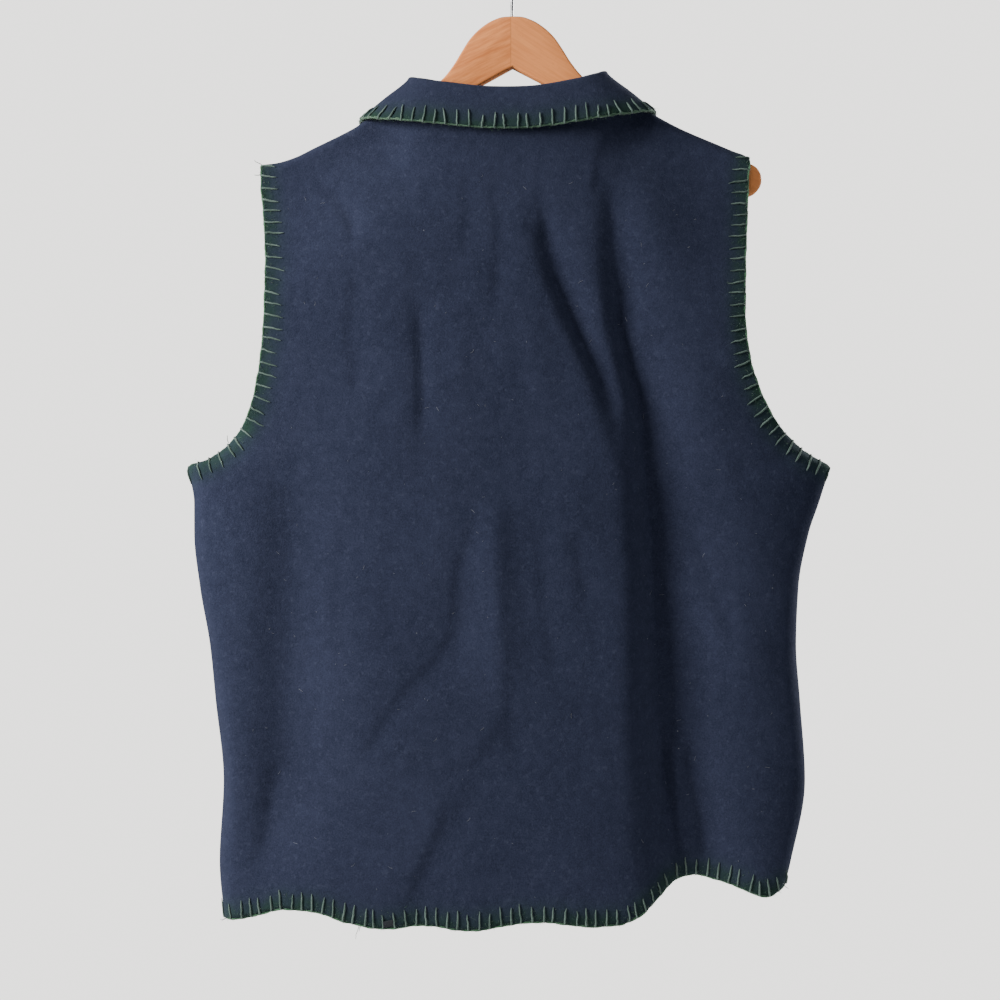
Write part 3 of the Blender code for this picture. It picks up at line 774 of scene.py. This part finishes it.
# step, thickness and lengths of the stitches, and how they lean, hang and waver
stitch = dict(step=10.6 * mm, hemStep=9.7 * mm, hemBelow=-800 * mm, leg=15.5 * mm,
              lengths=(0.80, 1.14), collarLengths=(0.62, 0.98), fatness=(0.85, 1.12),
              lean=0.06, hang=0.14, upright=0.75, waver=0.22 * mm, slip=0.7 * mm,
              overEdge=0.7 * mm, sink=0.15 * mm, yarn=1.65 * mm, edge=1.8 * mm,
              ropeStep=2.2 * mm, twist=0.55, hair=0.2 * mm, hairLengths=(1.2 * mm, 3.6 * mm),
              fuzzStep=0.36 * mm, fuzzDepths=(1.2 * mm, 6.5 * mm), rimReach=13 * mm,
              reach=(1.0, 0.72, 0.45, 0.22, 0.03),
              radii=(0.35, 0.95, 1.0, 1.05, 1.1, 1.0, 1.0, 1.0, 0.95, 0.8))
stitch["lie"] = (vest["wall"] + stitch["yarn"]) / 2 - stitch["sink"]


def rimShare(lines, x, z):
    # 1 on a stitched edge, fading to 0 where the green fibres end
    nearest = np.full(np.shape(x), 1e9)
    for line in lines:
        for px, pz in evenly(line, 6 * mm):
            nearest = np.minimum(nearest, np.hypot(x - px, z - pz))
    return np.exp(-(nearest / stitch["rimReach"]) ** 2)


def panelStitches(side, inside, line):
    # a blanket stitch for each step: a leg on each face, joined round the edge,
    # and hanging down a little where the edge is upright
    isHem = line[:, 1].max() < stitch["hemBelow"]
    places = evenly(line, stitch["hemStep"] if isHem else stitch["step"])
    ways, inward = edgeWays(places, inside)
    if isHem:
        # its legs stand nearly upright, whatever its slope
        inward = inward * (1 - stitch["upright"]) + np.array([0, stitch["upright"]])
    count = len(places)
    lean = rng.normal(0, stitch["lean"], count) - stitch["hang"] * ways[:, 1]
    starts = places + ways * rng.normal(0, stitch["slip"], (count, 1))
    length = stitch["leg"] * rng.uniform(*stitch["lengths"], (count, 1))
    reach = np.array(stitch["reach"]) * length
    legWay = inward + ways * lean[:, None]
    waver = rng.normal(0, stitch["waver"], (count, 5, 1))
    spots = starts[:, None] + reach[..., None] * legWay[:, None] + waver * ways[:, None]
    rims = starts - inward * stitch["overEdge"]
    outer = clothPoint(side, spots[..., 0], spots[..., 1], stitch["lie"])
    middle = clothPoint(side, rims[:, :1], rims[:, 1:], 0.0)
    inner = clothPoint(side, spots[..., 0], spots[..., 1], -stitch["lie"])[:, :0:-1]
    points = np.concatenate([outer, middle, inner], 1)
    fatness = rng.uniform(*stitch["fatness"], (count, 1))
    return list(zip(points, np.array(stitch["radii"]) * fatness))


def edgeRope(side, inside, line):
    # the yarn that the stitches hold along the very edge, one on each face
    places = evenly(line, stitch["ropeStep"])
    inward = edgeWays(places, inside)[1]
    ropes = []
    for face in (1, -1):
        turn = np.arange(len(places)) * stitch["twist"] + rng.uniform(0, 6)
        out = 0.35 * mm + 0.25 * mm * np.sin(turn)
        spots = places - inward * out[:, None]
        lift = face * (0.55 * mm + 0.25 * mm * np.cos(turn))
        points = clothPoint(side, spots[:, 0], spots[:, 1], lift)
        ropes.append((points, 1 + 0.18 * np.sin(turn * 2.3) + rng.normal(0, 0.08, len(places))))
    return ropes


def fuzz(side, inside, line):
    # short curled fibres that stand up from the stitched edge
    places = evenly(line, stitch["fuzzStep"])
    count = len(places)
    spread = np.where(rng.random((count, 1)) < 0.5, *stitch["fuzzDepths"])
    depth = np.abs(rng.normal(0, 1, (count, 1))) * spread - stitch["overEdge"]
    spots = places + edgeWays(places, inside)[1] * depth
    face = np.where(rng.random(count) < 0.75, 1, -1)
    bases = clothPoint(side, spots[:, 0], spots[:, 1], face * vest["wall"] / 2)
    return curledHairs(bases, np.array([0, side["way"], 0]) * face[:, None])


def curledHairs(bases, away):
    # one short hair from each base, roughly away from the cloth
    count = len(bases)
    ways = rng.normal(0, 1, (count, 3)) + away * 0.8
    ways /= np.linalg.norm(ways, axis=1, keepdims=True)
    bends = rng.normal(0, 0.27, (count, 3))
    length = rng.uniform(*stitch["hairLengths"], (count, 1))
    points = np.stack([bases, bases + ways * length * 0.5, bases + (ways + bends) * length], 1)
    return [(hair, (1.0, 0.8, 0.25)) for hair in points]


def makePanel(name, node, columnsOf):
    side, inside, lines = edges[name]
    x = np.array([columnsOf(nominal) for nominal in rowHeights])
    nominal = np.repeat(rowHeights[:, None], x.shape[1], 1)
    z = trueHeight(side, x, nominal)
    depth = clothDepth(side, x, z) * side["way"]
    cloth = addCloth(name + "Cloth", np.stack([x, depth, z], -1), rimShare(lines, x, z), node)
    legs, ropes, hairs = [], [], []
    for line in lines:
        legs += panelStitches(side, inside, line)
        ropes += edgeRope(side, inside, line)
        hairs += fuzz(side, inside, line)
    return cloth, addSewing(name, legs, ropes, hairs, "edge yarn")


back, backSewn = makePanel("back", "back", backColumns)
frontLeft, frontLeftSewn = makePanel("frontLeft", "front_left",
                                     lambda nominal: frontColumns(nominal, 1))
frontRight, frontRightSewn = makePanel("frontRight", "front_right",
                                       lambda nominal: frontColumns(nominal, -1))

# collar
# turn round the neck in degrees, then the fold line from the neck seam, and the outer
# edge from the fold line
collarTurns = [
    (90, 0, 1, 27.5, 0, 10, -38.5), (60, -3, 1, 26.5, 2, 12, -39.5),
    (35, -9, 1, 24, 12, 16, -41), (15, -14, 1, 22, 34, 14, -40),
    (0, -16, 0, 21.5, 47, 4, -36), (-15, -15, -2, 22, 50, -6, -37),
    (-35, -11, -5, 20, 50, -10, -54), (-60, -7, -6, 14, 48, -7, -59),
    (-88.5, 0, -6, 7, 36, -6, -60),
]
collar = dict(halfCells=110, lift=1.5 * mm, frontLift=2.3 * mm, sideLift=2.7 * mm,
              seamTurn=38, foldHalf=2.2 * mm, foldDrop=3.0 * mm, bulge=1.2 * mm,
              tilt=math.radians(0.75), sectionPoints=46, rounding=5, ropeStep=2.0 * mm,
              endStep=6, endReach=30)


def throughPoints(points, count):
    # smooth section through a few points, at even steps
    points = np.array(points)
    run = runAlong(points)
    at = np.linspace(0, run[-1], count)
    return np.stack([SmoothLine(run, column)(at) for column in points.T], 1)


def collarSections():
    columns = list(zip(*collarTurns))
    turns = [SmoothLine(columns[0], np.array(column) * mm) for column in columns[1:]]
    half = collar["halfCells"]
    last = collarTurns[-1][0]
    sections = []
    for step in range(2 * half + 1):
        way = 1 if step <= half else -1
        angle = 90 + (last - 90) * abs(step - half) / half
        turn = math.radians(angle)
        x = vest["neckX"] + way * vest["neckHalf"] * math.cos(turn)
        y = math.copysign(neckDepth(x) + vest["seam"] * min(abs(angle), 1.0), turn)
        low = vest["neckBack"] if angle >= 0 else vest["neckFront"]
        stepIn = (vest["neckX"] - x) / 100 or 0.01 * mm
        slope = (topLine(x + stepIn, low) - topLine(x, low)) / abs(stepIn)
        nearSeam = 1 - ease(abs(angle) / collar["seamTurn"])
        lift = collar["lift"] if angle >= 0 else collar["frontLift"]
        lift += (collar["sideLift"] - lift) * nearSeam
        off = np.array([way * slope, 0, 1])
        off = off / np.linalg.norm(off) * lift
        neck = np.array([x, y, topLine(x, low)]) + off
        foldX, foldY, foldZ, edgeX, edgeY, edgeZ = [float(line(angle)) for line in turns]
        fold = neck + np.array([way * foldX, foldY, foldZ])
        edge = fold + np.array([way * edgeX, edgeY, edgeZ])
        edge[2] -= math.sin(collar["tilt"]) * (edge[0] - neck[0])
        out = (edge - fold) * np.array([1, 1, 0])
        out = out / np.linalg.norm(out)
        drop = np.array([0, 0, collar["foldDrop"]])
        inner = fold - out * collar["foldHalf"] - drop
        outer = fold + out * collar["foldHalf"] - drop
        middle = (outer + edge) / 2 + out * collar["bulge"]
        sections.append(throughPoints([neck, (neck + inner) / 2, inner, fold, outer,
                                       middle, edge], collar["sectionPoints"]))
    # the turns at the shoulders are rounded
    sections = np.array(sections)
    rounded = sections.copy()
    for k in range(1, len(sections) - 1):
        reach = min(k, len(sections) - 1 - k, collar["rounding"])
        rounded[k] = sections[k - reach:k + reach + 1].mean(0)
    return rounded


def collarStitches(sections):
    # legs run in from the outer edge, and from both front ends
    legs, ropes = [], []
    normals = np.cross(np.gradient(sections, axis=0), np.gradient(sections, axis=1))
    normals /= np.linalg.norm(normals, axis=2, keepdims=True)
    if normals[len(sections) // 2, -3, 1] < 0:
        normals = -normals
    lie = stitch["lie"]
    foldAt = collar["sectionPoints"] // 2

    def sew(line, face):
        # the line starts on the edge and runs in over the cloth
        run = runAlong(line)
        length = stitch["leg"] * rng.uniform(*stitch["collarLengths"])
        reach = np.array(stitch["reach"]) * length
        spots, looks = readAt(line, run, reach), readAt(face, run, reach)
        way = (line[0] - line[1]) / run[1]
        slant = np.cross(way, looks[0]) * rng.normal(0, 0.08)
        spots = spots + reach[:, None] * slant + rng.normal(0, 0.2, (5, 3)) * mm
        points = np.concatenate([spots + looks * lie, [line[0] + way * stitch["overEdge"]],
                                 (spots - looks * lie)[:0:-1]])
        legs.append((points, np.array(stitch["radii"]) * rng.uniform(*stitch["fatness"])))

    run = runAlong(sections[:, -1])
    count = int(run[-1] / stitch["step"])
    for k in range(count):
        at = int(np.argmin(abs(run - run[-1] * (k + 0.5) / count)))
        sew(sections[at, :foldAt:-1], normals[at, :foldAt:-1])
    for order in (1, -1):
        for k in range(foldAt + 3, collar["sectionPoints"] - 4, collar["endStep"]):
            sew(sections[::order][:collar["endReach"], k],
                normals[::order][:collar["endReach"], k])
    border = np.concatenate([sections[0, foldAt:-1], sections[:, -1],
                             sections[-1, :foldAt:-1][1:]])
    steps = evenly(border, collar["ropeStep"])
    for shift in (0.0, 2.2):
        turn = np.arange(len(steps)) * stitch["twist"] + shift
        sway = np.stack([np.sin(turn), np.cos(turn), np.sin(turn + 1)], 1) * 0.35 * mm
        ropes.append((steps + sway, 1 + 0.2 * np.sin(turn * 2.1)))
    spots = evenly(border, stitch["fuzzStep"])
    spots = spots + rng.normal(0, 0.8, spots.shape) * mm
    return legs, ropes, curledHairs(spots, np.array([0.0, 0.3, 0.0]))


sections = collarSections()
toEdge = np.linalg.norm(sections - sections[:, -1:], axis=2)
toEnds = np.minimum(np.linalg.norm(sections - sections[:1], axis=2),
                    np.linalg.norm(sections - sections[-1:], axis=2))
collarRim = np.exp(-(np.minimum(toEdge, toEnds) / stitch["rimReach"]) ** 2)
collarCloth = addCloth("collarCloth", sections.transpose(1, 0, 2), collarRim.T, "collar")
legs, ropes, hairs = collarStitches(sections)
collarSewn = addSewing("collar", legs, ropes, hairs, "collar edge yarn")

# side and shoulder seams
seam = dict(thread=2.0 * mm, inside=0.9 * mm, neckGap=3 * mm)


def seamLines():
    # the thread lies just inside the joint between the back and the fronts
    lines = []
    for name, way in (("left", 1), ("right", -1)):
        low = float(backHem(levels[name](vest["hemLine"]))) + seam["inside"]
        z = np.linspace(low, vest["underarm"], 200)
        lines.append((levels[name](z) - way * seam["inside"], z))
        neck = vest["neckX"] + way * (vest["neckHalf"] + seam["neckGap"])
        x = np.linspace(neck, levels[name](vest["topLine"]) - way * seam["inside"], 60)
        lines.append((x, shoulder(x) - seam["inside"]))
    return [(np.stack([x, 0 * x, z], 1), np.ones(len(x))) for x, z in lines]


seamThread = addStrands("seamThread", seamLines(), seam["thread"], yarns["seam thread"], 1)

# loose threads and lint
# start on the back as place across and height, then its drift and its length
threads = [
    (233, -203, (1.0, 0.5, 0.6), 9), (232, -214, (1.0, 0.4, -0.3), 7),
    (138, -898, (0.25, 0.2, -1.0), 15), (135, -899, (0.4, 0.2, -1.0), 8),
    (262, -900, (0.9, 0.2, -0.4), 9), (262, -462, (0.8, 0.2, 0.5), 8),
    (-252, -872, (-0.8, 0.2, -0.4), 6), (-215, -205, (-0.6, 0.3, 0.8), 6),
]


looseYarn = dict(thick=0.7 * mm, sway=0.28, radii=(1, 1, 1, 0.9, 0.9, 0.8, 0.7, 0.5))


def looseThreads():
    strands = []
    parts = len(looseYarn["radii"]) - 1
    for x, z, drift, length in threads:
        here = clothPoint(backSide, np.array([x * mm]), np.array([z * mm]), np.zeros(1))[0]
        way = np.array(drift, float)
        points = [here]
        for _ in range(parts):
            way = way / np.linalg.norm(way) + rng.normal(0, looseYarn["sway"], 3)
            points.append(points[-1] + way / np.linalg.norm(way) * length * mm / parts)
        strands.append((np.array(points), looseYarn["radii"]))
    return strands


lintPlaces = dict(back=190, front=150, heights=(-880 * mm, -220 * mm),
                  across=(-240 * mm, 260 * mm), fromSide=20 * mm, fromTop=30 * mm,
                  fromHem=10 * mm, lengths=(0.8, 1.2, 1.6, 2.4, 4.5), hair=0.24 * mm)


def lintHairs(side, count):
    strands = []
    for _ in range(count):
        z = rng.uniform(*lintPlaces["heights"])
        x = rng.uniform(*lintPlaces["across"])
        toSide = min(levels["left"](z) - x, x - levels["right"](z))
        toTop, toHem = topLine(x, side["low"]) - z, z - side["hem"](x)
        if (toSide <= lintPlaces["fromSide"] or toTop < lintPlaces["fromTop"]
                or toHem < lintPlaces["fromHem"]):
            continue
        angle = rng.uniform(0, math.pi)
        length = rng.choice(lintPlaces["lengths"]) * mm
        t = np.linspace(-0.5, 0.5, 6)
        bend = rng.normal(0, 0.25)
        px = x + length * (t * math.cos(angle) - bend * (t * t) * math.sin(angle))
        pz = z + length * (t * math.sin(angle) + bend * (t * t) * math.cos(angle))
        off = vest["wall"] / 2 + 0.12 * mm
        strands.append((clothPoint(side, px, pz, np.full(6, off)), [0.6, 1, 1, 1, 1, 0.5]))
    return strands


loose = addStrands("looseThreads", looseThreads(), looseYarn["thick"],
                   yarns["stitch yarn"])
hairs = (lintHairs(backSide, lintPlaces["back"])
         + lintHairs(frontSide, lintPlaces["front"]))
lint = addStrands("lint", hairs, lintPlaces["hair"], yarns["pale lint"])
print("threads and lint made")

# hem tab
tab = dict(x=112 * mm, width=10 * mm, low=4.6 * mm, height=5.5 * mm, wall=0.8 * mm,
           lift=0.9 * mm, lean=math.radians(-12), columns=16, rows=8)


def makeTab():
    across, up = np.meshgrid(np.linspace(-0.5, 0.5, tab["columns"] + 1) * tab["width"],
                             np.linspace(-0.5, 0.5, tab["rows"] + 1) * tab["height"])
    cosine, sine = math.cos(tab["lean"]), math.sin(tab["lean"])
    x = tab["x"] + across * cosine - up * sine
    z = float(backHem(tab["x"])) + tab["low"] + up * cosine + across * sine
    places = clothPoint(backSide, x, z, np.full(x.shape, vest["wall"] / 2 + tab["lift"]))
    return addCloth("hemTab", places, 0 * x, "hem_tab", makeTape(), tab["wall"])


tabPiece = makeTab()

# hanger
hanger = dict(thick=12 * mm, round=2.2 * mm, tilt=math.radians(0.75), top=-66 * mm,
              tipX=214.6 * mm, tipZ=-220.4 * mm, tipRadius=15.2 * mm,
              domeX=(0, 64, 1.8), armX=(64, 214, 5), underX=(204, 1, -6))
woodTop = readHeights([
    (0, -66), (8, -66.4), (18.5, -69.8), (29.3, -76.6), (39.3, -86.4), (46.3, -96.8),
    (54, -109.3), (64, -122), (80, -135.6), (108, -153.4), (146, -174.8),
    (187, -193.6), (207, -202.6), (216, -206.8),
])
woodUnder = readHeights([
    (0, -113.1), (26, -127), (100, -167.5), (180, -213), (208, -231),
])


def makeHanger():
    tipAngle = np.radians(np.linspace(72, -90, 18))
    # domeX, armX and underX are start, end and step, in millimetres
    topX = np.concatenate([np.arange(*hanger["domeX"]), np.arange(*hanger["armX"])]) * mm
    underX = np.arange(*hanger["underX"]) * mm
    half = ([(x, float(woodTop(x))) for x in topX]
            + [(hanger["tipX"] + hanger["tipRadius"] * math.cos(a),
                hanger["tipZ"] + hanger["tipRadius"] * math.sin(a)) for a in tipAngle]
            + [(x, float(woodUnder(x))) for x in underX] + [(0.0, float(woodUnder(0.0)))])
    ring = half + [(-x, z) for x, z in half[1:-1][::-1]]
    shape = bmesh.new()
    face = shape.faces.new([shape.verts.new((x, -hanger["thick"] / 2, z)) for x, z in ring])
    grown = bmesh.ops.extrude_face_region(shape, geom=[face])["geom"]
    bmesh.ops.translate(shape, vec=(0, hanger["thick"], 0),
                        verts=[g for g in grown if isinstance(g, bmesh.types.BMVert)])
    bmesh.ops.recalc_face_normals(shape, faces=shape.faces)
    rims = [edge for edge in shape.edges
            if abs(edge.verts[0].co.y - edge.verts[1].co.y) < hanger["thick"] / 4]
    bmesh.ops.bevel(shape, geom=rims, offset=hanger["round"], segments=4, profile=0.5,
                    affect="EDGES", material=-1, clamp_overlap=True)
    turn = Matrix.Rotation(hanger["tilt"], 4, "Y")
    pivot = Vector((0, 0, hanger["top"]))
    for point in shape.verts:
        point.co = turn @ (point.co - pivot) + pivot
    mesh = makeMesh(shape, "hanger")
    addPiece("hanger", mesh, makeWoodLook(), "hanger_body")
    mesh.set_sharp_from_angle(angle=math.radians(40))


hook = dict(wire=3.0 * mm, inside=20 * mm, foot=-83.7 * mm, shankTop=-52 * mm,
            start=math.radians(-62), end=math.radians(208), steps=80)


def makeHook():
    radius = hook["inside"] + hook["wire"] / 2
    centre = np.array([0, 0, hook["wire"] / 2 - radius])
    angles = np.linspace(hook["start"], hook["end"], hook["steps"])
    arc = centre + radius * np.stack([np.cos(angles), 0 * angles, np.sin(angles)], 1)
    start = np.array([0, 0, hook["shankTop"]])
    way = np.array([-math.sin(hook["start"]), 0, math.cos(hook["start"])])
    first, second = start + np.array([0, 0, 7 * mm]), arc[0] - way * 6 * mm
    t = np.linspace(0, 1, 16)[1:-1, None]
    bend = (start * (1 - t) ** 3 + first * 3 * t * (1 - t) ** 2
            + second * 3 * t ** 2 * (1 - t) + arc[0] * t ** 3)
    shank = np.array([[0, 0, z] for z in np.linspace(hook["foot"], hook["shankTop"], 8)])
    points = np.concatenate([shank, bend, arc])
    radii = np.ones(len(points))
    radii[-3:] = (0.97, 0.85, 0.5)
    piece = addStrands("hookWire", [(points, radii)], hook["wire"], makeSteel(), 5)
    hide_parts("hook")


makeHanger()
makeHook()
print("hanger made")

# cut of the cloth
cuts = [
    # piece, width and length before it was hung, area, and what is sewn to it
    (back, (0.618, 0.764), 0.386, backSewn + [seamThread, loose, lint, tabPiece]),
    (frontLeft, (0.304, 0.754), 0.182, frontLeftSewn),
    (frontRight, (0.306, 0.757), 0.178, frontRightSewn),
    (collarCloth, (0.723, 0.090), 0.0497, collarSewn),
]
for piece, flat, area, sewn in cuts:
    print("area of", piece.name, round(sum(face.area for face in piece.data.polygons), 4))

# floor, light and air
room = dict(floorZ=-1.30, floorSize=0.85, floorDark=(0.88, 0.875, 0.87),
            floorLight=(0.92, 0.915, 0.91), seen=(1.0, 0.985, 0.96), seenStrength=2.3,
            air=(0.92, 0.96, 1.0), airStrength=0.15)


def makeRoom():
    disc = bmesh.new()
    bmesh.ops.create_circle(disc, cap_ends=True, segments=96, radius=room["floorSize"])
    bmesh.ops.translate(disc, vec=(0, 0, room["floorZ"]), verts=disc.verts)
    mesh = makeMesh(disc, "floor")
    floor = addObject("floor", mesh)
    finish = Finish("pale floor", Roughness=0.8)
    tone = finish.noise(3.0)
    finish.feed(Base_Color=finish.mix(tone, room["floorDark"], room["floorLight"]))
    mesh.materials.append(finish.material)
    world = bpy.data.worlds.new("studio")
    world.use_nodes = True
    # the air looks brighter than the light that it gives
    tree = world.node_tree
    air, seen = tree.nodes["Background"], tree.nodes.new("ShaderNodeBackground")
    for shine, name in ((air, "air"), (seen, "seen")):
        shine.inputs["Color"].default_value = (*room[name], 1)
        shine.inputs["Strength"].default_value = room[name + "Strength"]
    path = tree.nodes.new("ShaderNodeLightPath").outputs["Is Camera Ray"]
    both = tree.nodes.new("ShaderNodeMixShader")
    for slot, link in zip(both.inputs, (path, air.outputs[0], seen.outputs[0])):
        tree.links.new(link, slot)
    tree.links.new(both.outputs[0], tree.nodes["World Output"].inputs["Surface"])
    bpy.context.scene.world = world


lamps = [
    # name, place, size, power, colour
    ("key", (1.5, 0.68, 0.0), 0.6, 57, (1.0, 0.985, 0.96)),
    ("fill", (-1.6, 0.5, -0.3), 0.6, 5.5, (0.94, 0.97, 1.0)),
    ("top", (0.3, 0.9, 1.3), 0.6, 6, (1.0, 0.985, 0.96)),
    ("frontKey", (-1.8, -1.3, 0.4), 1.0, 66, (1.0, 0.99, 0.97)),
]


def makeLamps():
    for name, place, size, power, tint in lamps:
        lamp = bpy.data.lights.new(name, "AREA")
        lamp.size = size
        lamp.energy = power
        lamp.color = tint
        holder = addObject(name, lamp)
        holder.location = place
        aim = Vector((0, 0, -0.5)) - Vector(place)
        holder.rotation_euler = aim.to_track_quat("-Z", "Y").to_euler()


makeRoom()
makeLamps()
print("floor, air and lamps made")
